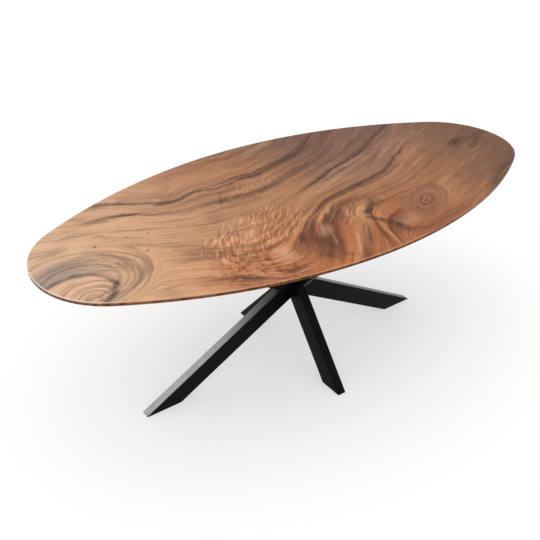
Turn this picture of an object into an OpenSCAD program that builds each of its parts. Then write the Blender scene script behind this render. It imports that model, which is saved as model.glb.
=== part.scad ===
// Oval dining table: a solid wood slab on a welded star base of rectangular tube.
// The long side runs along X, the front is -Y and the floor is at Z = 0.

/* [Tabletop] */
// Overall length of the oval
top_l = 2200; // [1900:10:2600]
// Overall width of the oval
top_w = 1000; // [900:10:1100]
// Radius of the two narrow ends of the oval
end_r = 285; // [240:5:310]
// Height of the finished table above the floor
table_h = 780; // [740:5:800]
// Thickness of the slab
top_t = 40; // [34:1:50]
// Rounding of the upper edge
edge_r = 4; // [2:0.5:6]
// How high the bevel under the edge reaches
bevel_h = 26; // [18:1:27]
// How far the bevel cuts in under the edge
bevel_in = 35; // [20:1:40]

/* [Tubes] */
// Narrow side of the rectangular tube
tube_w = 40; // [30:1:50]
// Wide side of the rectangular tube
tube_d = 80; // [60:1:90]
// Wall of the tube
tube_wall = 3; // [2:0.5:4]
// Outer corner radius of the tube
tube_r = 4.5; // [4:0.5:6]

/* [Star base] */
// Height at which the four arms cross
cross_h = 366; // [340:1:380]
// How far the base stands to the left of the middle of the slab
base_shift = 15; // [0:1:30]
// Slope of the pair of tubes along the table, in degrees
long_slope = 29; // [27:0.5:33]
// Slope of the pair of tubes across the table, in degrees
short_slope = 50.5; // [48:0.5:54]

/* [Top plates] */
// Thickness of the plates welded on the upper tube ends
plate_t = 6; // [4:0.5:8]
// How far a plate reaches past the cut end of its tube
plate_reach = 49; // [40:1:60]
// How far a plate reaches past each side of its tube
plate_side = 35; // [32:1:45]
// Corner radius of the plates
plate_r = 10; // [4:1:14]
// Distance from the bolt slots to the edges of the plate
slot_inset = 17; // [15:1:18]
// End-to-end length of a bolt slot, across the grain
slot_l = 15; // [12:1:17]

/* [Plate bolts] */
// Radius of the bolt shank
bolt_r = 4; // [3:0.5:4.5]
// Length of the bolt under its head
bolt_l = 22; // [18:1:25]
// Radius of the button head
head_r = 7; // [6:0.5:8]
// Height of the button head
head_h = 4.4; // [3:0.2:5]
// Width across flats of the key socket
bolt_key = 5; // [4:0.5:6]
// Radius of the washer
washer_r = 9; // [8:0.5:10]
// Thickness of the washer
washer_t = 1.6; // [1:0.1:2]
// Wall of the threaded insert
insert_wall = 2; // [1.5:0.1:3]
// Length of the threaded insert
insert_l = 15; // [10:1:18]

/* [Stiffening channels] */
// Distance of each channel from the middle of the table
channel_x = 350; // [250:5:400]
// Width of the channel across its flanges
channel_w = 40; // [30:1:50]
// Depth of the channel in the slab
channel_d = 15; // [10:1:20]
// Wall of the channel
channel_wall = 3; // [2:0.5:4]
// Distance from the ends of the channel to the edge of the slab
channel_gap = 85; // [60:5:120]
// Distance from the outer screws to the ends of the channel
screw_inset = 40; // [25:1:60]
// Number of screws in each channel
screw_n = 4; // [3:1:6]
// Radius of the channel screw's shank
screw_r = 3; // [2.5:0.5:3.5]
// Length of the channel screw under its head
screw_l = 18; // [15:1:20]
// Radius of the channel screw's head
screw_head_r = 5.7; // [5:0.1:6.5]
// Height of the channel screw's head
screw_head_h = 3.3; // [2.5:0.1:4]

/* [Feet] */
// Radius of the foot pad
pad_r = 17; // [14:0.5:18]
// Thickness of the foot pad
pad_h = 3; // [2.5:0.5:6]
// Step round the lower edge of the pad
pad_step = 0.5; // [0.3:0.1:0.8]
// Thickness of the plates that close the lower tube ends
cap_t = 4; // [3:0.5:6]
// Radius of the levelling stud
stud_r = 4; // [3:0.5:5]
// Length of the levelling stud above the pad
stud_l = 32; // [28:1:36]
// Height of the nut welded inside each foot
nut_h = 8; // [6:0.5:9]
// Width across flats of that nut
nut_flats = 13; // [12:0.5:15]
// Radius of the stud's head, which sits in the pad
stud_head_r = 8; // [7:0.5:10]
// Thickness of the stud's head
stud_head_h = 1.5; // [1:0.1:1.8]

/* [Clearances] */
// Radial gap between a thread or plug and the hole it sits in
fit_gap = 0.05; // [0.02:0.01:0.09]
// Radial gap round a bolt or stud that only passes through
pass_gap = 0.5; // [0.2:0.1:1]
// Gap between each foot pad and the plate above it
pad_gap = 0.3; // [0.1:0.1:0.8]
// Gap between a channel and its groove in the slab
groove_gap = 0.5; // [0.2:0.1:1]

/* [Hidden] */
$fn = 64;
// Chords in each end arc, each side arc and the edge's rounding
end_n = 24;
side_n = 64;
edge_n = 4;
under_z = table_h - top_t;
plate_z = under_z - plate_t;
cap_z = pad_h + pad_gap;
foot_z = cap_z + cap_t;
half_l = top_l / 2;
half_w = top_w / 2;
// The oval is four arcs: two ends of end_r, and two sides that meet them without a corner.
end_x = half_l - end_r;
side_r = (end_x * end_x + half_w * half_w - end_r * end_r) / (2 * (half_w - end_r));
side_y = side_r - half_w;
side_angle = atan(end_x / side_y);
reach = 2 * table_h / sin(long_slope);
insert_r = bolt_r + fit_gap + insert_wall;
screw_insert_r = screw_r + fit_gap + insert_wall;
// How much deeper the holes for the inserts are than what they hold
hole_extra = 3;
// How far a cutting shape runs past the face that it cuts
over = 1;
// Least radius inside a tube's corner
min_r = 0.5;
// How much of a button head its key socket takes
socket_share = 0.6;
channel_half = side_width(channel_x) - channel_gap;
// Each arm: the direction in which it rises, and its slope.
LEFT = [0, long_slope];
RIGHT = [180, long_slope];
FRONT = [90, short_slope];
BACK = [270, short_slope];
ARMS = [LEFT, RIGHT, FRONT, BACK];

wood = "#a9714b";
coat = "#161616";
zinc = "#9a9d9f";
brass = "#b5923f";
nylon = "#1c1c1c";

// Half the width of the oval at a distance x from the middle, along its side arcs
function side_width(x) = sqrt(side_r * side_r - x * x) - side_y;

// Length of the level cut through a sloping tube
function cut_l(slope) = tube_d / sin(slope);

// Distance from the middle to a tube's centre line at a given height
function run_at(slope, z) = abs(z - cross_h) / tan(slope);

// Points of a row of n between -half and half
function row(half, n) = [for (i = [0 : n - 1]) -half + 2 * half * i / (n - 1)];

// Tabletop

// Points of one arc, counter-clockwise, without its last point
function arc(x, y, r, a0, a1, n) = [for (i = [0 : n - 1])
    let (a = a0 + (a1 - a0) * i / n) [x + r * cos(a), y + r * sin(a)]];

// The oval's outline, drawn in by an inset
function outline(inset) = concat(
    arc(end_x, 0, end_r - inset, side_angle - 90, 90 - side_angle, end_n),
    arc(0, -side_y, side_r - inset, 90 - side_angle, 90 + side_angle, side_n),
    arc(-end_x, 0, end_r - inset, 90 + side_angle, 270 - side_angle, end_n),
    arc(0, side_y, side_r - inset, 270 - side_angle, 270 + side_angle, side_n)
);

// The slab as rings of the outline, from the bevel's foot over the edge to the end of the rounding
module oval_slab() {
    rounding = [for (i = [0 : edge_n])
        let (a = 90 * i / edge_n) [edge_r - edge_r * cos(a), top_t - edge_r + edge_r * sin(a)]];
    rings = concat([[bevel_in, 0], [0, bevel_h]], rounding);
    n = 2 * (end_n + side_n);
    last = len(rings) - 1;
    points = [for (ring = rings, p = outline(ring[0])) [p[0], p[1], ring[1]]];
    walls = [for (k = [0 : last - 1], i = [0 : n - 1], upper = [0, 1])
        let (j = (i + 1) % n, a = k * n)
        upper == 0 ? [a + j, a + i, a + n + i] : [a + j, a + n + i, a + n + j]];
    underside = [for (i = [0 : n - 1]) i];
    upper_side = [for (i = [n - 1 : -1 : 0]) last * n + i];
    polyhedron(points, concat([underside], walls, [upper_side]));
}

module tabletop() {
    color(wood)
        difference() {
            translate([0, 0, under_z]) oval_slab();
            at_plate_bolts()
                translate([0, 0, under_z - over])
                    cylinder(r = insert_r + fit_gap, h = insert_l + hole_extra + over);
            for (side = [-1, 1]) translate([side * channel_x, 0, 0]) channel_groove();
            at_channel_screws()
                translate([0, 0, under_z]) cylinder(r = screw_insert_r + fit_gap, h = screw_l + hole_extra);
        }
}

// Tubes of the star base

module round_rect(w, d, r) {
    union() {
        square([w - 2 * r, d], center = true);
        square([w, d - 2 * r], center = true);
        for (x = [-1, 1], y = [-1, 1]) translate([x * (w / 2 - r), y * (d / 2 - r)]) circle(r);
    }
}

// Puts its children, drawn along X, on the centre line of an arm
module on_arm(arm) {
    translate([-base_shift, 0, cross_h]) rotate([0, 0, arm[0]]) rotate([0, -arm[1], 0]) children();
}

module arm_tube(arm) {
    inner_r = max(tube_r - tube_wall, min_r);
    on_arm(arm)
        rotate([90, 0, 90])
            linear_extrude(reach, center = true)
                difference() {
                    round_rect(tube_w, tube_d, tube_r);
                    round_rect(tube_w - 2 * tube_wall, tube_d - 2 * tube_wall, inner_r);
                }
}

// The solid bar that a tube fills, with or without its rounded corners
module arm_bar(arm, r) {
    on_arm(arm) rotate([90, 0, 90]) linear_extrude(reach, center = true) round_rect(tube_w, tube_d, r);
}

module sharp_bar(arm) {
    on_arm(arm) cube([reach, tube_w, tube_d], center = true);
}

// All the space between two heights
module layer(z0, z1) {
    translate([-reach, -reach, z0]) cube([2 * reach, 2 * reach, z1 - z0]);
}

module leg_long_through() {
    color(coat)
        intersection() {
            arm_tube(LEFT);
            layer(foot_z, plate_z);
        }
}

// Half of the second long tube, cut off flush on the narrow face of the through tube
module leg_long_half(side) {
    color(coat)
        difference() {
            intersection() {
                arm_tube(RIGHT);
                layer(foot_z, plate_z);
            }
            on_arm(LEFT)
                translate([0, 0, side * (reach / 2 - tube_d / 2)])
                    cube([3 * reach, reach, reach], center = true);
        }
}

module leg_long_lower() { leg_long_half(1); }

module leg_long_upper() { leg_long_half(-1); }

// A half tube of the short pair: it ends at the middle planes and on the long pair's faces
module leg_short_half(arm, y_side, z_side) {
    color(coat)
        difference() {
            intersection() {
                arm_tube(arm);
                layer(z_side > 0 ? cross_h : foot_z, z_side > 0 ? plate_z : cross_h);
                translate([-reach, y_side > 0 ? 0 : -reach, 0]) cube([2 * reach, reach, table_h]);
            }
            sharp_bar(LEFT);
            sharp_bar(RIGHT);
        }
}

module leg_front_lower() { leg_short_half(FRONT, -1, -1); }

module leg_back_upper() { leg_short_half(FRONT, 1, 1); }

module leg_back_lower() { leg_short_half(BACK, 1, -1); }

module leg_front_upper() { leg_short_half(BACK, -1, 1); }

// Plates that carry the slab

// An arm's upper end, seen from the middle of its plate
module at_top_end(arm) {
    translate([-base_shift, 0, 0])
        rotate([0, 0, arm[0]]) translate([run_at(arm[1], plate_z), 0, 0]) children();
}

function plate_len(arm) = cut_l(arm[1]) + 2 * plate_reach;

function plate_wid() = tube_w + 2 * plate_side;

module at_slots(arm) {
    at_top_end(arm)
        for (x = [-1, 1], y = [-1, 1])
            translate([x * (plate_len(arm) / 2 - slot_inset), y * (plate_wid() / 2 - slot_inset), 0])
                children();
}

// A slot across the grain, whichever way its plate is turned
module slot(arm) {
    r = bolt_r + pass_gap;
    half = slot_l / 2 - r;
    rotate([0, 0, -arm[0]])
        translate([0, 0, plate_z - over])
            union() {
                translate([-r, -half, 0]) cube([2 * r, 2 * half, plate_t + 2 * over]);
                for (y = [-half, half]) translate([0, y, 0]) cylinder(r = r, h = plate_t + 2 * over);
            }
}

module plate(arm) {
    color(coat)
        difference() {
            at_top_end(arm)
                translate([0, 0, plate_z])
                    linear_extrude(plate_t) round_rect(plate_len(arm), plate_wid(), plate_r);
            at_slots(arm) slot(arm);
        }
}

// The arm that rises to the right has its foot on the left
module plate_left() { plate(RIGHT); }

module plate_right() { plate(LEFT); }

module plate_front() { plate(BACK); }

module plate_back() { plate(FRONT); }

module at_plate_bolts() {
    for (arm = ARMS) at_slots(arm) children();
}

// A button-head bolt, head down, with its seat at Z = 0
module button_bolt(r, l, cap_r, cap_h, key) {
    dome_r = (cap_r * cap_r + cap_h * cap_h) / (2 * cap_h);
    socket_d = cap_h * socket_share;
    difference() {
        union() {
            cylinder(r = r, h = l);
            translate([0, 0, -cap_h])
                rotate_extrude()
                    intersection() {
                        square([cap_r, cap_h]);
                        translate([0, dome_r]) circle(dome_r);
                    }
        }
        translate([0, 0, -cap_h - over]) cylinder(r = key / 2 / cos(30), h = socket_d + over, $fn = 6);
    }
}

module plate_bolts() {
    color(coat)
        at_plate_bolts()
            translate([0, 0, plate_z - washer_t]) button_bolt(bolt_r, bolt_l, head_r, head_h, bolt_key);
}

module plate_washers() {
    color(coat)
        at_plate_bolts()
            translate([0, 0, plate_z - washer_t])
                difference() {
                    cylinder(r = washer_r, h = washer_t);
                    translate([0, 0, -over]) cylinder(r = bolt_r + pass_gap / 2, h = washer_t + 2 * over);
                }
}

module threaded_insert(bore_r, outer_r) {
    difference() {
        cylinder(r = outer_r, h = insert_l);
        translate([0, 0, -over]) cylinder(r = bore_r, h = insert_l + 2 * over);
    }
}

module plate_inserts() {
    color(brass) at_plate_bolts() translate([0, 0, under_z]) threaded_insert(bolt_r + fit_gap, insert_r);
}

// Stiffening channels let into the underside, flush with it

module channel_section(grow) {
    difference() {
        translate([-channel_w / 2 - grow, 0]) square([channel_w + 2 * grow, channel_d + grow]);
        translate([-channel_w / 2 + channel_wall + grow, channel_wall + grow])
            square([channel_w - 2 * channel_wall - 2 * grow, channel_d + over]);
    }
}

module channel_groove() {
    l = 2 * (channel_half + groove_gap);
    translate([0, l / 2, under_z]) rotate([90, 0, 0]) linear_extrude(l) channel_section(groove_gap);
    translate([-channel_w / 2 - groove_gap, -l / 2, under_z - over])
        cube([channel_w + 2 * groove_gap, l, over + groove_gap]);
}

module at_channel_screws() {
    for (side = [-1, 1], y = row(channel_half - screw_inset, screw_n))
        translate([side * channel_x, y, 0]) children();
}

module channel(side) {
    color(zinc)
        difference() {
            translate([side * channel_x, channel_half, under_z])
                rotate([90, 0, 0]) linear_extrude(2 * channel_half) channel_section(0);
            at_channel_screws()
                translate([0, 0, under_z - over])
                    cylinder(r = screw_r + pass_gap, h = channel_wall + 2 * over);
        }
}

module channel_left() { channel(-1); }

module channel_right() { channel(1); }

module channel_screws() {
    color(zinc)
        at_channel_screws()
            translate([0, 0, under_z]) button_bolt(screw_r, screw_l, screw_head_r, screw_head_h, screw_r);
}

module channel_inserts() {
    color(brass)
        at_channel_screws()
            translate([0, 0, under_z + channel_wall + groove_gap])
                difference() {
                    cylinder(r = screw_insert_r, h = screw_l - channel_wall);
                    translate([0, 0, -over]) cylinder(r = screw_r + fit_gap, h = screw_l + 2 * over);
                }
}

// Feet

// The middle of an arm's lower end, opposite to the side it rises to
module at_foot(arm) {
    translate([-base_shift, 0, 0])
        rotate([0, 0, arm[0]]) translate([-run_at(arm[1], foot_z), 0, 0]) children();
}

module foot_cap(arm) {
    color(coat)
        difference() {
            intersection() {
                arm_bar(arm, tube_r);
                layer(cap_z, foot_z);
            }
            at_foot(arm)
                translate([0, 0, cap_z - over]) cylinder(r = stud_r + pass_gap, h = cap_t + 2 * over);
        }
}

module foot_nut(arm) {
    color(zinc)
        at_foot(arm)
            translate([0, 0, foot_z])
                difference() {
                    cylinder(r = nut_flats / 2 / cos(30), h = nut_h, $fn = 6);
                    translate([0, 0, -over]) cylinder(r = stud_r + fit_gap, h = nut_h + 2 * over);
                }
}

module foot_stud(arm) {
    color(zinc)
        at_foot(arm)
            translate([0, 0, pad_h - stud_head_h]) {
                cylinder(r = stud_head_r, h = stud_head_h);
                cylinder(r = stud_r, h = stud_head_h + stud_l);
            }
}

module foot_pad(arm) {
    color(nylon)
        at_foot(arm)
            difference() {
                union() {
                    cylinder(r = pad_r - pad_step, h = pad_step);
                    translate([0, 0, pad_step]) cylinder(r = pad_r, h = pad_h - pad_step);
                }
                translate([0, 0, pad_h - stud_head_h])
                    cylinder(r = stud_head_r + fit_gap, h = stud_head_h + over);
            }
}

module foot_cap_left() { foot_cap(LEFT); }
module foot_cap_right() { foot_cap(RIGHT); }
module foot_cap_front() { foot_cap(FRONT); }
module foot_cap_back() { foot_cap(BACK); }
module foot_nut_left() { foot_nut(LEFT); }
module foot_nut_right() { foot_nut(RIGHT); }
module foot_nut_front() { foot_nut(FRONT); }
module foot_nut_back() { foot_nut(BACK); }
module foot_stud_left() { foot_stud(LEFT); }
module foot_stud_right() { foot_stud(RIGHT); }
module foot_stud_front() { foot_stud(FRONT); }
module foot_stud_back() { foot_stud(BACK); }
module foot_pad_left() { foot_pad(LEFT); }
module foot_pad_right() { foot_pad(RIGHT); }
module foot_pad_front() { foot_pad(FRONT); }
module foot_pad_back() { foot_pad(BACK); }

tabletop();
leg_long_through();
leg_long_lower();
leg_long_upper();
leg_front_lower();
leg_front_upper();
leg_back_lower();
leg_back_upper();
plate_left();
plate_right();
plate_front();
plate_back();
plate_bolts();
plate_washers();
plate_inserts();
channel_left();
channel_right();
channel_screws();
channel_inserts();
foot_cap_left();
foot_cap_right();
foot_cap_front();
foot_cap_back();
foot_nut_left();
foot_nut_right();
foot_nut_front();
foot_nut_back();
foot_stud_left();
foot_stud_right();
foot_stud_front();
foot_stud_back();
foot_pad_left();
foot_pad_right();
foot_pad_front();
foot_pad_back();
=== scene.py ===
import math

import bmesh
import bpy
from mathutils import Matrix, Vector


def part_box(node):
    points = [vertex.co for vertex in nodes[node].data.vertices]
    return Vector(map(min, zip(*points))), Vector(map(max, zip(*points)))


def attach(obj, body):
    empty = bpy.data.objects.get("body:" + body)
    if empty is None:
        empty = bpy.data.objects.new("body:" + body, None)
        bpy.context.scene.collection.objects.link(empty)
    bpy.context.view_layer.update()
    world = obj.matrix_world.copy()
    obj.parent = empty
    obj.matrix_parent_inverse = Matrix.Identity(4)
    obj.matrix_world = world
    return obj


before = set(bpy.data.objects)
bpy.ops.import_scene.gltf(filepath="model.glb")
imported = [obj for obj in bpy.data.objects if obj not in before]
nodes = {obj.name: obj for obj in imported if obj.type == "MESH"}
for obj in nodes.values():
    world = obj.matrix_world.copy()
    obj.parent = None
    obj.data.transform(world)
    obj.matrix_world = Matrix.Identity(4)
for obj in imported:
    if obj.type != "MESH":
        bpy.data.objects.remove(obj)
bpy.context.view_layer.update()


# Tabletop: one oval slab, 40 mm thick, sawn from a single wide trunk of figured hardwood.
# Its upper edge is rounded over, its lower edge bevelled, and all faces are sanded and oiled
# to a satin sheen. Four bolts through each plate of the base hold it.
slab_low, slab_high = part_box("tabletop")
slab_bevel = 0.026
slab_rounding = 0.004


class Signal:
    """A number that travels through a finish's nodes and is reckoned with like a plain one."""

    def __init__(self, socket):
        self.socket = socket

    def reckon(self, operation, *others):
        """What a sum of this number and others comes to."""
        step = self.socket.node.id_data.nodes.new("ShaderNodeMath")
        step.operation = operation
        for entry, value in zip(step.inputs, (self, *others)):
            feed(entry, value)
        return Signal(step.outputs[0])

    def __add__(self, other):
        return self.reckon("ADD", other)

    __radd__ = __add__

    def __sub__(self, other):
        return self.reckon("SUBTRACT", other)

    def __mul__(self, other):
        return self.reckon("MULTIPLY", other)

    def fade(self, start, end, full=1, passage="SMOOTHSTEP"):
        """0 at start and before it, full at end and past it, with a smooth passage between."""
        step = self.socket.node.id_data.nodes.new("ShaderNodeMapRange")
        step.interpolation_type = passage
        for entry, value in (("Value", self), ("From Min", start), ("From Max", end), ("To Max", full)):
            feed(step.inputs[entry], value)
        return Signal(step.outputs["Result"])

    def ridge(self, level, half_width, full=1):
        """Full where the number is at the level, falling to 0 at half_width either side of it."""
        return (self - level).reckon("ABSOLUTE").fade(half_width, 0, full)


def feed(entry, value):
    """Links a signal to a node's entry, or sets the entry to a plain value."""
    if isinstance(value, Signal):
        value.socket.node.id_data.links.new(value.socket, entry)
    else:
        entry.default_value = value


def colour(hex_code):
    """A colour written as on a paint card, as the light that it gives back."""
    parts = [int(hex_code[k:k + 2], 16) / 255 for k in (1, 3, 5)]
    return [p / 12.92 if p <= 0.04045 else ((p + 0.055) / 1.055) ** 2.4 for p in parts] + [1]


def finish(name):
    """A new finish, its shader and the place on the table, in metres."""
    material = bpy.data.materials.new(name)
    material.use_nodes = True
    tree = material.node_tree
    place = Signal(tree.nodes.new("ShaderNodeTexCoord").outputs["Object"])
    return material, tree.nodes["Principled BSDF"], place


def axes(vector):
    """The X, Y and Z of a place or of a direction."""
    step = vector.socket.node.id_data.nodes.new("ShaderNodeSeparateXYZ")
    feed(step.inputs[0], vector)
    return [Signal(part) for part in step.outputs]


def point(x, y, z):
    """The place, or the direction, with these X, Y and Z."""
    step = x.socket.node.id_data.nodes.new("ShaderNodeCombineXYZ")
    for entry, value in zip(step.inputs, (x, y, z)):
        feed(entry, value)
    return Signal(step.outputs[0])


def cloud(place, scale, detail=2, layer=None, roughness=0.5):
    """Soft random variation between 0 and 1; a layer signal makes it change along that too."""
    step = place.socket.node.id_data.nodes.new("ShaderNodeTexNoise")
    step.noise_dimensions = "3D" if layer is None else "4D"
    feed(step.inputs["Vector"], place)
    if layer is not None:
        feed(step.inputs["W"], layer)
    step.inputs["Scale"].default_value = scale
    step.inputs["Detail"].default_value = detail
    step.inputs["Roughness"].default_value = roughness
    return Signal(step.outputs["Fac"])


def tinted(base, tone, amount):
    """The base colour with another laid over it by an amount."""
    step = amount.socket.node.id_data.nodes.new("ShaderNodeMix")
    step.data_type = "RGBA"
    feed(step.inputs[0], amount)
    for entry, value in ((step.inputs[6], base), (step.inputs[7], tone)):
        if isinstance(value, str):
            value = colour(value)
        feed(entry, value)
    return Signal(step.outputs[2])


def slanted(x, y, x_share, y_share, start):
    """A number that grows evenly along a slanted line over the slab."""
    return x.reckon("MULTIPLY_ADD", x_share, y.reckon("MULTIPLY_ADD", y_share, start))


def oval_distance(x, y, centre, radii, turn):
    """How far a place is from an oval's centre: 1 on the oval itself."""
    c = math.cos(math.radians(turn))
    s = math.sin(math.radians(turn))
    middle_x, middle_y = centre
    long, short = radii
    run = slanted(x, y, c / long, s / long, -(middle_x * c + middle_y * s) / long)
    off = slanted(x, y, -s / short, c / short, (middle_x * s - middle_y * c) / short)
    return run.reckon("MULTIPLY_ADD", run, off * off).reckon("SQRT")


def lie(share, points):
    """How far back a line through given points lies, at a share of the slab's length."""
    tree = share.socket.node.id_data
    step = tree.nodes.new("ShaderNodeFloatCurve")
    line = step.mapping.curves[0]
    low, high = points[0][0], points[-1][0]
    spread = [((x - low) / (high - low), y / 2 + 0.5) for x, y in points]
    line.points[0].location = spread[0]
    line.points[1].location = spread[-1]
    for spot in spread[1:-1]:
        line.points.new(*spot)
    step.mapping.update()
    feed(step.inputs["Value"], share)
    return (Signal(step.outputs[0]) - 0.5) * 2


def relief(height, depth):
    """The bump of a surface, from a height between 0 and 1 and its depth in metres."""
    step = height.socket.node.id_data.nodes.new("ShaderNodeBump")
    step.inputs["Distance"].default_value = depth
    feed(step.inputs["Height"], height)
    return Signal(step.outputs[0])


# How the trunk's growth layers run along the slab: six of them from the back to the front, each
# with its number in the grain's own measure and the places that it passes
growth_lines = [
    (0.23, [(-1.12, 0.563), (-0.901, 0.435), (-0.751, 0.361), (-0.68, 0.332), (-0.62, 0.297),
            (-0.56, 0.258), (-0.499, 0.22), (-0.439, 0.215), (-0.379, 0.236), (-0.319, 0.241),
            (-0.269, 0.228), (-0.199, 0.235), (-0.119, 0.244), (-0.069, 0.233), (-0.019, 0.25),
            (0.05, 0.265), (0.1, 0.277), (0.15, 0.292), (0.2, 0.31), (0.249, 0.338), (0.299, 0.367),
            (0.358, 0.406), (0.457, 0.47), (0.615, 0.547), (0.843, 0.644), (1.12, 0.75)]),
    (0.12, [(-1.12, 0.319), (-0.95, 0.271), (-0.879, 0.249), (-0.799, 0.235), (-0.719, 0.236),
            (-0.659, 0.223), (-0.619, 0.202), (-0.569, 0.168), (-0.518, 0.144), (-0.458, 0.13),
            (-0.398, 0.134), (-0.328, 0.128), (-0.268, 0.116), (-0.197, 0.108), (-0.117, 0.108),
            (-0.047, 0.123), (0.022, 0.147), (0.102, 0.177), (0.182, 0.195), (0.262, 0.206),
            (0.321, 0.23), (0.4, 0.282), (0.499, 0.347), (0.618, 0.42), (0.845, 0.527), (1.12, 0.643)]),
    (0.00, [(-1.12, 0.172), (-0.999, 0.152), (-0.918, 0.136), (-0.838, 0.123), (-0.788, 0.102),
            (-0.738, 0.067), (-0.677, 0.03), (-0.597, -0.009), (-0.496, -0.047), (-0.395, -0.071),
            (-0.295, -0.077), (-0.195, -0.068), (-0.115, -0.039), (-0.045, -0.007), (0.024, 0.02),
            (0.104, 0.044), (0.184, 0.075), (0.253, 0.102), (0.323, 0.121), (0.403, 0.146),
            (0.473, 0.173), (0.532, 0.203), (0.601, 0.242), (0.671, 0.275), (0.74, 0.312),
            (0.879, 0.375), (1.12, 0.477)]),
    (-0.13, [(-1.12, -0.104), (-0.946, -0.124), (-0.796, -0.164), (-0.644, -0.224), (-0.513, -0.294),
            (-0.422, -0.346), (-0.332, -0.354), (-0.272, -0.319), (-0.222, -0.268), (-0.173, -0.224),
            (-0.123, -0.189), (-0.063, -0.157), (0.006, -0.118), (0.066, -0.098), (0.126, -0.085),
            (0.206, -0.071), (0.306, -0.054), (0.406, -0.029), (0.466, 0.006), (0.525, 0.04),
            (0.605, 0.077), (0.704, 0.125), (0.803, 0.166), (0.922, 0.218), (1.12, 0.301)]),
    (-0.20, [(-1.12, -0.193), (-0.946, -0.213), (-0.795, -0.258), (-0.643, -0.323), (-0.512, -0.403),
            (-0.411, -0.462), (-0.29, -0.473), (-0.2, -0.414), (-0.141, -0.325), (-0.102, -0.254),
            (-0.062, -0.209), (-0.003, -0.177), (0.067, -0.158), (0.137, -0.152), (0.208, -0.151),
            (0.308, -0.139), (0.428, -0.11), (0.557, -0.061), (0.706, 0.002), (0.905, 0.085),
            (1.12, 0.163)]),
    (-0.26, [(-1.12, -0.3), (-0.8, -0.4), (-0.5, -0.55), (-0.3, -0.62), (-0.12, -0.6), (-0.04, -0.53),
            (0.01, -0.455), (0.045, -0.38), (0.07, -0.315), (0.11, -0.262), (0.17, -0.236),
            (0.26, -0.224), (0.4, -0.208), (0.55, -0.16), (0.7, -0.1), (0.9, -0.02), (1.12, 0.06)])]
# Dark streaks along the layers: number in that measure, half width, start and end, depth of tone
streaks = [(0.230, 0.014, -0.86, 0.46, 0.85), (0.214, 0.006, -0.55, 0.30, 0.40),
           (0.249, 0.006, -0.14, 0.46, 0.35), (0.120, 0.011, -0.90, 0.42, 0.62),
           (0.104, 0.006, -0.62, 0.10, 0.35), (0.136, 0.006, -0.10, 0.52, 0.35),
           (0.078, 0.010, -0.46, 0.14, 0.42), (0.175, 0.007, -0.70, -0.20, 0.22),
           (0.001, 0.010, -0.06, 0.96, 0.88), (0.018, 0.004, 0.24, 0.86, 0.40),
           (-0.027, 0.008, 0.06, 0.81, 0.70), (-0.068, 0.006, -0.26, 0.25, 0.35),
           (-0.048, 0.005, -0.22, 0.11, 0.28), (-0.130, 0.010, -0.19, 0.75, 0.80),
           (-0.146, 0.005, -0.13, 0.31, 0.35), (-0.200, 0.008, -0.17, 0.37, 0.55),
           (-0.100, 0.012, 0.31, 0.71, 0.32), (0.060, 0.009, 0.00, 0.70, 0.40),
           (0.160, 0.008, 0.05, 0.80, 0.40), (0.195, 0.008, 0.15, 0.75, 0.35),
           (-0.225, 0.006, -0.02, 0.30, 0.45), (-0.260, 0.007, 0.00, 0.34, 0.50),
           (0.225, 0.026, -0.62, 0.55, 0.42), (0.115, 0.020, -0.50, 0.40, 0.32),
           (-0.004, 0.024, 0.00, 1.00, 0.50), (0.050, 0.016, 0.20, 0.90, 0.30),
           (-0.128, 0.022, -0.12, 0.70, 0.45), (0.180, 0.016, 0.30, 0.80, 0.35)]
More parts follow.
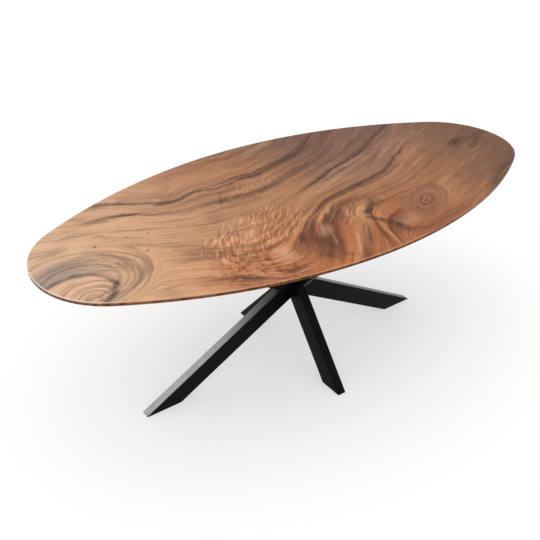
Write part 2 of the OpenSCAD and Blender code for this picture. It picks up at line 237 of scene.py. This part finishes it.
# Dark patches, folds and smoky spots, and last a band of painted shade along the front right edge:
# centre, radii, turn in degrees and depth of tone
patches = [((0.134, -0.221), (0.060, 0.018), 42, 0.62), ((0.095, -0.259), (0.030, 0.018), 25, 0.85),
           ((0.169, -0.219), (0.055, 0.020), 35, 0.35), ((0.072, -0.311), (0.036, 0.016), -60, 0.85),
           ((0.101, -0.364), (0.045, 0.019), -70, 0.85), ((0.118, -0.417), (0.048, 0.022), -75, 0.85),
           ((0.163, -0.453), (0.050, 0.012), -14, 0.40), ((0.273, -0.438), (0.100, 0.009), 8, 0.30),
           ((-0.163, -0.208), (0.045, 0.010), 44, 0.50), ((-0.228, -0.271), (0.036, 0.018), 62, 0.70),
           ((-0.195, -0.330), (0.055, 0.020), -72, 0.42), ((-0.243, -0.329), (0.055, 0.014), 82, 0.40),
           ((-0.228, -0.414), (0.045, 0.012), -58, 0.40), ((-0.483, -0.296), (0.030, 0.016), 80, 0.50),
           ((-0.445, -0.319), (0.055, 0.010), 86, 0.45), ((-0.410, -0.336), (0.050, 0.014), 78, 0.40),
           ((-0.522, -0.375), (0.055, 0.018), -36, 0.50), ((-0.566, -0.224), (0.034, 0.010), -74, 0.40),
           ((-0.391, -0.421), (0.060, 0.013), -38, 0.50), ((-0.159, -0.452), (0.045, 0.016), -48, 0.45),
           ((-0.749, -0.286), (0.045, 0.007), -4, 0.45), ((-0.663, -0.343), (0.034, 0.009), -36, 0.45),
           ((-0.645, -0.182), (0.060, 0.005), 3, 0.30), ((-0.654, 0.216), (0.058, 0.013), -18, 0.70),
           ((-0.764, 0.237), (0.070, 0.024), 0, 0.42), ((-0.720, 0.342), (0.100, 0.020), -20, 0.45),
           ((-0.600, 0.289), (0.070, 0.020), -34, 0.35), ((-0.489, 0.214), (0.060, 0.019), -8, 0.55),
           ((-0.798, 0.115), (0.042, 0.014), -46, 0.40), ((-0.726, 0.062), (0.062, 0.008), -36, 0.40),
           ((-0.392, 0.026), (0.070, 0.040), 60, 0.22), ((-0.099, 0.237), (0.075, 0.019), -4, 0.40),
           ((-0.298, 0.127), (0.100, 0.007), 60, 0.24),
           ((0.885, 0.005), (0.090, 0.032), 10, 0.55), ((0.872, 0.012), (0.045, 0.014), 8, 0.55),
           ((0.850, -0.027), (0.055, 0.013), 46, 0.42),
           ((0.945, -0.045), (0.095, 0.018), 28, 0.60), ((1.089, 0.020), (0.032, 0.016), 0, 0.60),
           ((1.010, 0.000), (0.080, 0.028), 20, 0.50), ((0.686, 0.025), (0.060, 0.018), 8, 0.20),
           ((0.529, -0.155), (0.060, 0.008), 6, 0.25), ((0.601, -0.229), (0.030, 0.050), 20, 0.18),
           # Painted shade: a broad dark band along the front right edge
           ((0.800, -0.327), (0.250, 0.050), 25, 1.00)]
# Pale spots, given in the same way
clearings = [((-0.512, 0.260), (0.026, 0.009), -34, 0.70), ((-0.344, -0.314), (0.075, 0.045), 76, 0.60),
             ((-0.127, -0.276), (0.050, 0.028), 50, 0.50), ((-0.028, -0.173), (0.036, 0.009), 44, 0.60),
             ((0.018, -0.232), (0.070, 0.012), 56, 0.50), ((0.580, 0.324), (0.110, 0.010), 36, 0.15),
             ((-0.634, -0.273), (0.080, 0.030), -32, 0.45),
             ((-0.374, -0.161), (0.130, 0.030), 46, 0.35), ((0.182, -0.386), (0.100, 0.040), 12, 0.35)]
# Small round knots, by their centres
pin_knots = [(-0.851, 0.072), (-0.733, 0.075), (-0.711, -0.046), (-0.837, -0.065), (-0.044, -0.414),
             (0.038, -0.410), (-0.657, 0.057), (0.312, -0.376)]
# The great ovals of the figure, by centre, radii and turn: the lobe at the left end with the nest of
# arcs round it and the fan of rings in it, the knot's eye and its split heart, and the fields of
# burl, of folds and of the calm wood between folds and knot
lobe_oval = ((-1.016, -0.153), (0.110, 0.085), 0)
nest_oval = ((-0.987, -0.104), (0.200, 0.150), 0)
fan_oval = ((-0.984, -0.211), (0.130, 0.120), 0)
eye_oval = ((0.339, -0.315), (0.040, 0.020), 29)
heart_oval = ((0.339, -0.315), (0.022, 0.006), 32)
burl_oval = ((-0.452, -0.334), (0.20, 0.14), -20)
fold_oval = ((-0.02, -0.31), (0.30, 0.20), 10)
calm_oval = ((0.24, -0.36), (0.22, 0.13), 15)
# Fields of curly figure: the way that the ripples lie in degrees, their width, the field's centre,
# radii and turn, and its depth
curls = [(62, 0.0115, (-0.148, 0.129), (0.21, 0.10), 6, 0.7),
         (46, 0.0150, (-0.314, -0.137), (0.29, 0.16), 6, 1),
         (50, 0.0200, (0.008, -0.217), (0.16, 0.10), 30, 1),
         (58, 0.0170, (-0.454, -0.205), (0.16, 0.13), 0, 1)]
# How much of the wood's own tone the darkest marks cover
darkest = 0.85


def slab_wood():
    """Figured hardwood: tones and streaks that follow the growth layers, with all that crosses them."""
    material, shader, place = finish("slab_wood")
    x, y, z = axes(place)
    flat = point(x, y, 0)
    drift = cloud(flat, 5)
    quiver = cloud(flat, 22, detail=3)
    near_x = x + (drift - 0.5) * 0.03 + (quiver - 0.5) * 0.014
    near_y = y + (quiver - 0.5) * 0.016
    warped = point(near_x, near_y, 0)

    # Across the grain: the growth layers' own measure, drawn round the lobe and round the knot
    share = (near_x - growth_lines[0][1][0][0]) * (0.5 / growth_lines[0][1][-1][0])
    number, places = growth_lines[-1]
    line = lie(share, places)
    across = (near_y - line).reckon("MINIMUM", 0) + number
    for next_number, places in growth_lines[-2::-1]:
        next_line = lie(share, places)
        across = across + near_y.fade(line, next_line, next_number - number, "LINEAR")
        number, line = next_number, next_line
    across = across + (near_y - line).reckon("MAXIMUM", 0)
    lobe = oval_distance(near_x, near_y, *lobe_oval)
    nest = oval_distance(near_x, near_y, *nest_oval)
    fan = oval_distance(near_x, near_y, *fan_oval)
    eye = oval_distance(near_x, near_y, *eye_oval)
    across = across + (fan * 0.08 - across) * nest.fade(1.45, 0.80)
    across = across + (eye * 0.02 - 0.36 - across) * eye.fade(4.6, 2.6)

    # Grain drawn out along the growth layers, broad and fine
    stretched = point(x * 1.5, y * 1.5, z * 6)
    broad = cloud(stretched, 1, detail=3, layer=across * 9)
    bands = cloud(stretched, 1, detail=3, layer=across * 34, roughness=0.6)
    fine = cloud(point(x * 5, y * 5, z * 12), 1, detail=4, layer=across * 150, roughness=0.65)
    pores = cloud(point(x * 26, y * 26, z * 40), 1, detail=1, layer=across * 520)

    # Base tone: pale at the left end, partly the wood's own paler tone and partly painted sheen, and
    # whiter at the very tip as painted sheen; orange at the front of the middle, greyer and darker to
    # the right. The grain shows most where the wood is lively, and least in the calm wood by the knot
    left = x.fade(-0.20, -0.85)
    right = x.fade(0.40, 1.00)
    front = y.fade(-0.02, -0.30) * x.fade(-0.85, -0.50) * x.fade(0.60, 0.15)
    lively = front * 0.50 + x.fade(0.9, 0.2, 0.20) + 0.50
    tone = tinted("#a36b45", "#b8815a", broad.fade(0.34, 0.66))
    # Paler towards the left end: partly the wood's own tone, partly painted sheen
    tone = tinted(tone, "#dbae88", left * 0.88)
    tone = tinted(tone, "#ba6d39", front * 0.80)
    tone = tinted(tone, "#6c452f", right * 0.90)
    tone = tinted(tone, "#5e3c2a", x.ridge(0.22, 0.42, 0.15))
    # Whiter at the very tip of the left end: painted sheen
    tone = tinted(tone, "#f0d0b0", x.fade(-0.82, -1.02, 0.30))
    grey = across.fade(-0.16, -0.04) * x.fade(-0.05, 0.35)
    tone = tinted(tone, "#785347", grey * 0.75)
    tone = tinted(tone, "#6b4536", y.fade(0.26, 0.46) * x.fade(-0.25, 0.12, 0.72))
    tone = tinted(tone, "#744832", bands.fade(0.50, 0.32) * lively * 0.75)
    restless = oval_distance(x, y, *calm_oval).fade(0.60, 1.10)
    tone = tinted(tone, "#dba97f", bands.fade(0.53, 0.70) * lively * x.fade(1.1, 0.1, 0.45) * restless)

    # Mottle: cloudy spots, drawn out a little along the grain
    mottle = cloud(point(x * 4, y * 4, z * 6), 1, detail=4, layer=across * 13, roughness=0.6)
    tone = tinted(tone, "#6e4630", mottle.fade(0.50, 0.34, 0.38))
    tone = tinted(tone, "#dbaa82", mottle.fade(0.54, 0.70, 0.22))

    # Curly figure: short ripples that cross the grain
    curl_noise = cloud(flat, 9, detail=2)
    ripples = 0
    for turn, pitch, centre, radii, lean, depth in curls:
        c = math.cos(math.radians(turn - 90))
        s = math.sin(math.radians(turn - 90))
        run = slanted(x, y, c / pitch, s / pitch, 0) + curl_noise * (0.05 / pitch)
        off = slanted(x, y, -s / pitch / 4, c / pitch / 4, 0)
        wave = (cloud(point(run * 1.7, off, 0), 1, detail=1) - 0.5) * 4.2
        zone = oval_distance(x, y, centre, radii, lean).fade(1.15, 0.45, depth)
        ripples = ripples + wave * zone
    tone = tinted(tone, "#6e3b20", (ripples * -1).fade(0.05, 1, 0.60))
    tone = tinted(tone, "#ecb588", ripples.fade(0.05, 1, 0.70))

    # Folds: broad waves of light and dark that follow the layers round the knot's left side
    fold_zone = oval_distance(x, y, *fold_oval).fade(1.1, 0.5)
    folds = cloud(stretched, 1, detail=1, layer=across * 21 + 3)
    tone = tinted(tone, "#6c3a1c", fold_zone * folds.fade(0.52, 0.42, 0.95))
    tone = tinted(tone, "#dba06e", fold_zone * folds.fade(0.53, 0.61, 0.78) * restless)

    # Burl: knotted, cloudy grain near the front edge
    burl = oval_distance(x, y, *burl_oval).fade(1.15, 0.4)
    knots = cloud(warped, 42, detail=4, roughness=0.7)
    tone = tinted(tone, "#743d20", burl * knots.fade(0.50, 0.38, 0.80))
    tone = tinted(tone, "#e0a678", burl * knots.fade(0.54, 0.66, 0.60))

    # Clear spots, dark streaks and smoky patches
    clear = 0
    for centre, radii, turn, depth in clearings:
        clear = clear + oval_distance(near_x, near_y, centre, radii, turn).fade(1.25, 0.2, depth)
    tone = tinted(tone, "#dba883", clear)
    wavering = across + (cloud(flat, 34, detail=3) - 0.5) * 0.026
    dark = 0
    for level, half, start, end, depth in streaks:
        stretch = x.fade(start, start + 0.16) * x.fade(end + 0.06, end - 0.22)
        dark = dark + wavering.ridge(level, half * 1.6, depth) * stretch
    for centre, radii, turn, depth in patches:
        dark = dark + oval_distance(near_x, near_y, centre, radii, turn).fade(1.3, 0.4, depth)
    for centre in pin_knots:
        dark = dark + oval_distance(near_x, near_y, centre, (0.008, 0.006), 30).fade(1.3, 0.4, 0.75)
    frayed = bands.fade(0.66, 0.34, 0.70) + fine.fade(0.65, 0.35, 0.45) + 0.35
    shade = (dark * frayed).reckon("MINIMUM", 1)
    tone = tinted(tone, "#47291f", shade * darkest)

    # The lobe at the left end: peach wood inside a grey outline, with arcs nested round it
    inside = lobe.fade(1.05, 0.92)
    tone = tinted(tone, "#deb394", inside * 0.90)
    tone = tinted(tone, "#c08f6a", inside * cloud(warped, 16, detail=3).fade(0.5, 0.7, 0.6))
    inner = fan.ridge(0.84, 0.07, 0.50) + fan.ridge(0.62, 0.06, 0.45) + fan.ridge(0.40, 0.06, 0.40)
    tone = tinted(tone, "#8d6247", inner * inside)
    haze = nest.fade(1.15, 0.85) * lobe.fade(1.0, 1.1)
    tone = tinted(tone, "#9c877a", haze * x.fade(-0.82, -1.00) * darkest)
    arcs = lobe.ridge(1.14, 0.20, 0.95) + nest.ridge(0.66, 0.08, 0.55) + nest.ridge(0.80, 0.05, 0.40)
    outer = nest.ridge(1.00, 0.09, 0.70) + nest.ridge(0.90, 0.05, 0.50) + nest.ridge(1.16, 0.05, 0.40)
    arcs = arcs + outer * x.fade(-1.02, -0.84)
    arcs = arcs * (cloud(flat, 14, detail=2).fade(0.30, 0.60, 0.6) + 0.4)
    tone = tinted(tone, "#54403a", arcs * darkest)

    # The knot eye at the front right: a dark rim, a split heart and faint, broken rings
    uneven = eye + (cloud(flat, 26, detail=3) - 0.5) * 0.9
    heart = oval_distance(near_x, near_y, *heart_oval)
    rings = uneven.ridge(1.0, 0.36, 0.90) + uneven.ridge(1.7, 0.30, 0.30) + uneven.ridge(2.5, 0.35, 0.20)
    rings = rings + uneven.ridge(3.6, 0.50, 0.35) * x.fade(0.34, 0.42) + heart.fade(1.2, 0.4)
    tone = tinted(tone, "#93614a", eye.fade(4.8, 1.5, 0.62))
    tone = tinted(tone, "#5c3620", rings * darkest)

    # Fine lines and pores
    tone = tinted(tone, "#563220", fine.fade(0.50, 0.34) * lively * 0.55)
    tone = tinted(tone, "#e8bb95", fine.fade(0.55, 0.70) * lively * restless * 0.34)
    tone = tinted(tone, "#3c2216", pores.fade(0.64, 0.78, 0.45))

    # The edge: the upright band is painted dark brown, darker in blotches, as painted shade, and the
    # rounding above it is painted paler, as a painted highlight that turns whitish at the left end as a
    # painted reflection
    band_low = slab_low.z + slab_bevel
    band_high = slab_high.z - slab_rounding
    painted_shade_band = z.fade(band_high + 0.001, band_high - 0.002) * z.fade(band_low - 0.002, band_low + 0.001)
    # Painted shade: the upright edge band painted dark brown, and darker still in blotches
    tone = tinted(tone, "#6a3416", painted_shade_band * darkest)
    tone = tinted(tone, "#2b1408", painted_shade_band * knots.fade(0.52, 0.40, 0.7))
    wear_and_highlight = z.ridge(slab_high.z - 0.0015, 0.003) * z.fade(slab_high.z - 0.00005, slab_high.z - 0.0004)
    # Painted highlight along the rounded rim, strongest on the left half
    tone = tinted(tone, "#e0aa7e", wear_and_highlight * x.fade(0.60, 0.00, 0.5))
    # Painted reflection: the rounded rim whitish at the left end
    tone = tinted(tone, "#efe4da", wear_and_highlight * x.fade(-0.90, -1.05, 0.7))

    feed(shader.inputs["Base Color"], tone)
    feed(shader.inputs["Roughness"], fine * 0.16 + shade * 0.06 + 0.30)
    shader.inputs["Specular IOR Level"].default_value = 0.20
    height = fine * 0.5 - pores.fade(0.62, 0.8, 0.8)
    feed(shader.inputs["Normal"], relief(height, 0.00035))
    return material


def coat_nodes(material, *names):
    """Gives CAD nodes a finish."""
    for name in names:
        mesh_slots = nodes[name].material_slots
        if not mesh_slots:
            nodes[name].data.materials.append(material)
        for slot in mesh_slots:
            slot.material = material


coat_nodes(slab_wood(), "tabletop")


# Legs: four arms of 80 x 40 mm rectangular steel tube that cross at one point. One long tube runs
# through; the others are cut to it and welded. The whole star is powder-coated black.
tube_width = 0.040
tube_depth = 0.080
tube_corner = 0.0045
base_shift = 0.015
crossing_height = 0.366
crossing = Vector((-base_shift, 0, crossing_height))
long_slope = math.radians(29)
short_slope = math.radians(50.5)
leg_names = ["leg_long_through", "leg_long_lower", "leg_long_upper", "leg_front_lower",
             "leg_front_upper", "leg_back_lower", "leg_back_upper"]


def powder_coat():
    """Matt black on the sides; the upper faces took more powder and flowed smoother, so they shine more,
    and are painted a lighter grey as a painted highlight.
    """
    material, shader, place = finish("powder_coat")
    grain = cloud(place, 900, detail=2)
    orange_peel = cloud(place, 260, detail=1)
    rubbed = cloud(place, 16, detail=4, roughness=0.65)
    facing = Signal(place.socket.node.outputs["Normal"])
    upper = axes(facing)[2].fade(0.60, 0.85)
    tone = tinted("#070707", "#101010", grain.fade(0.45, 0.75))
    tone = tinted(tone, "#1b1b1a", rubbed.fade(0.60, 0.78) * 0.6)
    # Painted highlight: the upper faces painted a speckled lighter grey
    tone = tinted(tone, "#3a3b3b", upper * grain.fade(0.35, 0.70))
    feed(shader.inputs["Base Color"], tone)
    feed(shader.inputs["Roughness"], rubbed * 0.14 + grain * 0.08 + 0.23)
    feed(shader.inputs["Specular IOR Level"], upper * 0.60 + 0.06)
    feed(shader.inputs["Normal"], relief(grain * 0.5 + orange_peel, 0.00009))
    return material


black_coat = powder_coat()
coat_nodes(black_coat, *leg_names)


# Weld beads: a run of small overlapping ripples where each tube meets the next tube or its plate.
# They are laid before coating, so they are as black as the steel round them.
bead_radius = 0.0030
bead_ripple = 0.0032
bead_swell = (0.90, 1.08)
bead_sides = 8
bead_end = 0.5


def tube_section(steps=5):
    """Points round a tube's section: across its narrow side, then its wide side."""
    points = []
    for side_x, side_y, start in ((1, 1, 0), (-1, 1, 90), (-1, -1, 180), (1, -1, 270)):
        for k in range(steps + 1):
            a = math.radians(start + 90 * k / steps)
            points.append((side_x * (tube_width / 2 - tube_corner) + tube_corner * math.cos(a),
                           side_y * (tube_depth / 2 - tube_corner) + tube_corner * math.sin(a)))
    return points


def cut_outline(heading, slope, plane_point, plane_normal):
    """Where the surface of a sloping tube meets a plane."""
    turn = Matrix.Rotation(math.radians(heading), 3, "Z")
    along = turn @ Vector((math.cos(slope), 0, math.sin(slope)))
    up = turn @ Vector((-math.sin(slope), 0, math.cos(slope)))
    side = turn @ Vector((0, 1, 0))
    outline = []
    for p, q in tube_section():
        start = crossing + side * p + up * q
        run = (plane_point - start).dot(plane_normal) / along.dot(plane_normal)
        outline.append(start + along * run)
    return outline


def even_path(points, closed, step):
    """The same path with points a step apart."""
    ends = points + [points[0]] if closed else points
    path = []
    for a, b in zip(ends, ends[1:]):
        pieces = max(1, round((b - a).length / step))
        path += [a.lerp(b, k / pieces) for k in range(pieces)]
    return path if closed else path + [ends[-1]]


def weld_bead(name, points, closed):
    """A rippled bead of weld metal along a path."""
    path = even_path(points, closed, bead_ripple / 2)
    count = len(path)
    bm = bmesh.new()
    rings = []
    guide = Vector((0.31, 0.22, 0.92))  # no bead runs this way
    for k, middle in enumerate(path):
        ahead = path[(k + 1) % count] if closed or k + 1 < count else middle
        behind = path[k - 1] if closed or k else middle
        run = (ahead - behind).normalized()
        u = run.cross(guide).normalized()
        v = run.cross(u)
        radius = bead_radius * bead_swell[k % 2]
        if not closed and k in (0, count - 1):
            radius *= bead_end
        rings.append([bm.verts.new(middle + (u * math.cos(a) + v * math.sin(a)) * radius)
                      for a in (2 * math.pi * j / bead_sides for j in range(bead_sides))])
    for k in range(count if closed else count - 1):
        here, there = rings[k], rings[(k + 1) % count]
        for j in range(bead_sides):
            after = (j + 1) % bead_sides
            bm.faces.new((here[j], here[after], there[after], there[j]))
    if not closed:
        bm.faces.new(rings[0][::-1])
        bm.faces.new(rings[-1])
    bmesh.ops.recalc_face_normals(bm, faces=bm.faces)
    mesh = bpy.data.meshes.new(name)
    bm.to_mesh(mesh)
    bm.free()
    mesh.shade_smooth()
    mesh.materials.append(black_coat)
    bead = bpy.data.objects.new(name, mesh)
    bpy.context.collection.objects.link(bead)
    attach(bead, "table")
    return bead


plate_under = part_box("plate_left")[0].z
upward = Vector((0, 0, 1))
for name, heading, slope in (("weld_plate_right", 0, long_slope),
                             ("weld_plate_left", 180, long_slope),
                             ("weld_plate_back", 90, short_slope),
                             ("weld_plate_front", 270, short_slope)):
    weld_bead(name, cut_outline(heading, slope, Vector((0, 0, plate_under)), upward), True)

through_up = Vector((-math.sin(long_slope), 0, math.cos(long_slope)))
for name, side in (("weld_crossing_upper", 1), ("weld_crossing_lower", -1)):
    face = crossing + through_up * side * tube_depth / 2
    weld_bead(name, cut_outline(180, long_slope, face, through_up), True)

mitre_run = tube_depth / 2 / math.sin(short_slope)
seam_half = tube_depth / 2 / math.cos(long_slope) + tube_width / 2 * math.tan(long_slope)
for name, side in (("front", -1), ("back", 1)):
    face_y = side * tube_width / 2
    corner_y = side * mitre_run
    for edge, x in (("left", -tube_width / 2), ("right", tube_width / 2)):
        seam = [crossing + Vector((x, face_y, -seam_half)), crossing + Vector((x, face_y, seam_half))]
        weld_bead(f"weld_{name}_{edge}", seam, False)
    mitre = [crossing + Vector((x, y, 0)) for x, y in ((-tube_width / 2, face_y),
                                                       (-tube_width / 2, corner_y),
                                                       (tube_width / 2, corner_y),
                                                       (tube_width / 2, face_y))]
    weld_bead(f"weld_{name}_mitre", mitre, False)


# Top plates: 6 mm steel plates with rounded corners, welded on the upper tube ends and coated
# with them. Their slots lie across the grain, so that the slab can swell and shrink.
coat_nodes(black_coat, "plate_left", "plate_right", "plate_front", "plate_back")


# Bolts, washers and threaded inserts: M8 button heads and washers in black oxide hold each plate
# to brass inserts that are screwed into the slab.
def black_oxide():
    """Blackened steel, rubbed a little paler in places."""
    material, shader, place = finish("black_oxide")
    wear_and_highlight = cloud(place, 420, detail=3)
    tone = tinted("#161615", "#2c2b29", wear_and_highlight.fade(0.50, 0.72))
    feed(shader.inputs["Base Color"], tone)
    feed(shader.inputs["Roughness"], wear_and_highlight * 0.20 + 0.28)
    shader.inputs["Metallic"].default_value = 0.6
    feed(shader.inputs["Normal"], relief(wear_and_highlight, 0.00003))
    return material


def bare_brass():
    """Turned brass, dulled by handling."""
    material, shader, place = finish("bare_brass")
    dull = cloud(place, 300, detail=3)
    feed(shader.inputs["Base Color"], tinted("#b89248", "#8a6a30", dull.fade(0.45, 0.70)))
    feed(shader.inputs["Roughness"], dull * 0.25 + 0.22)
    shader.inputs["Metallic"].default_value = 1
    feed(shader.inputs["Normal"], relief(dull, 0.00003))
    return material


coat_nodes(black_oxide(), "plate_bolts", "plate_washers")
coat_nodes(bare_brass(), "plate_inserts", "channel_inserts")


# Stiffening channels: two zinc-plated steel channels lie flush in grooves of the underside and
# keep the wide slab flat. Four screws with domed heads hold each of them.
def zinc_plate():
    """Bright zinc on rolled steel, brushed along the table's width."""
    material, shader, place = finish("zinc_plate")
    x, y, z = axes(place)
    spangle = cloud(place, 60, detail=3)
    brushed = cloud(point(x * 900, y * 12, z * 900), 1, detail=2)
    tone = tinted("#a3a7a9", "#7f8487", spangle.fade(0.40, 0.65))
    tone = tinted(tone, "#c3c7c9", brushed.fade(0.55, 0.80) * 0.5)
    feed(shader.inputs["Base Color"], tone)
    feed(shader.inputs["Roughness"], spangle * 0.18 + brushed * 0.12 + 0.24)
    shader.inputs["Metallic"].default_value = 1
    feed(shader.inputs["Normal"], relief(brushed, 0.00004))
    return material


zinc = zinc_plate()
coat_nodes(zinc, "channel_left", "channel_right", "channel_screws")


# Feet: a coated plate closes each lower tube end. A levelling stud screws into a nut welded inside
# it, and its head sits in a round nylon pad that slides on the floor and doesn't mark it.
def moulded_nylon():
    """Black nylon with a fine mould texture and pale scuffs."""
    material, shader, place = finish("moulded_nylon")
    mould = cloud(place, 700, detail=2)
    scuffs = cloud(place, 90, detail=4, roughness=0.7)
    tone = tinted("#121212", "#292928", scuffs.fade(0.55, 0.75))
    feed(shader.inputs["Base Color"], tone)
    feed(shader.inputs["Roughness"], scuffs * 0.2 + 0.42)
    feed(shader.inputs["Normal"], relief(mould, 0.00006))
    return material


nylon = moulded_nylon()
for corner in ("left", "right", "front", "back"):
    coat_nodes(black_coat, f"foot_cap_{corner}")
    coat_nodes(zinc, f"foot_nut_{corner}", f"foot_stud_{corner}")
    coat_nodes(nylon, f"foot_pad_{corner}")


# Studio: a pale floor that runs out of sight, a soft dome of light that is brightest overhead but
# looks white behind the table, and the camera at the photograph's place. None is part of the table.
floor_reach = 40
floor_tone = 0.80
# What the camera sees of the floor: this share of the light on it, and some of its own, so that it
# keeps the table's shadow and still runs out to white
floor_shadow_share = 0.53
floor_own_light = 0.50


def seen_directly(tree):
    """1 for rays that should meet the white background, which are camera, glossy and glass rays."""
    path = tree.nodes.new("ShaderNodeLightPath")
    rays = [Signal(path.outputs[f"Is {kind} Ray"]) for kind in ("Camera", "Glossy", "Transmission")]
    return rays[0].reckon("MAXIMUM", rays[1]).reckon("MAXIMUM", rays[2])


def pale_floor():
    """The floor: plain to the light on the table, and white with a shadow to the camera."""
    material = bpy.data.materials.new("pale_floor")
    material.use_nodes = True
    tree = material.node_tree
    tree.nodes.remove(tree.nodes["Principled BSDF"])
    out = tree.nodes["Material Output"]
    plain = tree.nodes.new("ShaderNodeBsdfDiffuse")
    plain.inputs["Color"].default_value = (floor_tone, floor_tone, floor_tone, 1)
    shadowed = tree.nodes.new("ShaderNodeBsdfDiffuse")
    shadowed.inputs["Color"].default_value = (floor_shadow_share, floor_shadow_share, floor_shadow_share, 1)
    own = tree.nodes.new("ShaderNodeEmission")
    own.inputs["Strength"].default_value = floor_own_light
    white = tree.nodes.new("ShaderNodeAddShader")
    tree.links.new(shadowed.outputs[0], white.inputs[0])
    tree.links.new(own.outputs[0], white.inputs[1])
    choice = tree.nodes.new("ShaderNodeMixShader")
    feed(choice.inputs[0], seen_directly(tree))
    tree.links.new(plain.outputs[0], choice.inputs[1])
    tree.links.new(white.outputs[0], choice.inputs[2])
    tree.links.new(choice.outputs[0], out.inputs["Surface"])
    return material


floor_mesh = bpy.data.meshes.new("floor")
corners = [(sx * floor_reach, sy * floor_reach, 0) for sx, sy in ((-1, -1), (1, -1), (1, 1), (-1, 1))]
floor_mesh.from_pydata(corners, [], [(0, 1, 2, 3)])
floor_mesh.materials.append(pale_floor())
floor = bpy.data.objects.new("floor", floor_mesh)
bpy.context.collection.objects.link(floor)

world = bpy.data.worlds.new("studio")
bpy.context.scene.world = world
world.use_nodes = True
sky_tree = world.node_tree
background = sky_tree.nodes["Background"]
direction = Signal(sky_tree.nodes.new("ShaderNodeTexCoord").outputs["Generated"])


def panel(heading, half_angle, soft_angle, strength):
    """A round light panel in the dome: full within half_angle of its heading, gone past soft_angle."""
    aim = Vector(heading).normalized()
    dot = sky_tree.nodes.new("ShaderNodeVectorMath")
    dot.operation = "DOT_PRODUCT"
    feed(dot.inputs[0], direction)
    dot.inputs[1].default_value = aim
    edge = Signal(dot.outputs["Value"])
    return edge.fade(math.cos(math.radians(soft_angle)), math.cos(math.radians(half_angle))) * strength


# Two cards at the back are seen in the table's gloss alone and add no light to its colours
left_card = panel(heading=(-0.40, 0.64, 0.66), half_angle=9, soft_angle=18, strength=9.0)
middle_card = panel(heading=(0.05, 0.82, 0.56), half_angle=14, soft_angle=34, strength=0.6)
ray_kinds = sky_tree.nodes.new("ShaderNodeLightPath").outputs
dome = panel(heading=(-0.25, -0.20, 0.95), half_angle=22, soft_angle=58, strength=1.12) + 0.54
light = (left_card + middle_card) * Signal(ray_kinds["Is Glossy Ray"]) + dome
feed(background.inputs["Strength"], light.reckon("MAXIMUM", Signal(ray_kinds["Is Camera Ray"])))
background.inputs["Color"].default_value = (1, 1, 1, 1)

camera_data = bpy.data.cameras.new("camera")
camera = bpy.data.objects.new("camera", camera_data)
bpy.context.collection.objects.link(camera)
camera_place = Vector((-1.6348, -1.8440, 1.9848))
camera_yaw = 0.58724
camera_pitch = 0.60472
camera_roll = 0.00504
image_size = 540
focal_length = 696.55
centre_x = 216.0
centre_y = 294.66
ahead = Vector((math.sin(camera_yaw) * math.cos(camera_pitch),
                math.cos(camera_yaw) * math.cos(camera_pitch), -math.sin(camera_pitch)))
level_right = Vector((math.cos(camera_yaw), -math.sin(camera_yaw), 0))
level_down = ahead.cross(level_right)
right = level_right * math.cos(camera_roll) + level_down * math.sin(camera_roll)
down = level_down * math.cos(camera_roll) - level_right * math.sin(camera_roll)
camera.matrix_world = Matrix((right, -down, -ahead)).transposed().to_4x4()
camera.location = camera_place
camera_data.sensor_width = 36
camera_data.lens = focal_length * camera_data.sensor_width / image_size
camera_data.shift_x = (image_size / 2 - centre_x) / image_size
camera_data.shift_y = (centre_y - image_size / 2) / image_size
bpy.context.scene.camera = camera
bpy.context.scene.view_settings.view_transform = "Standard"
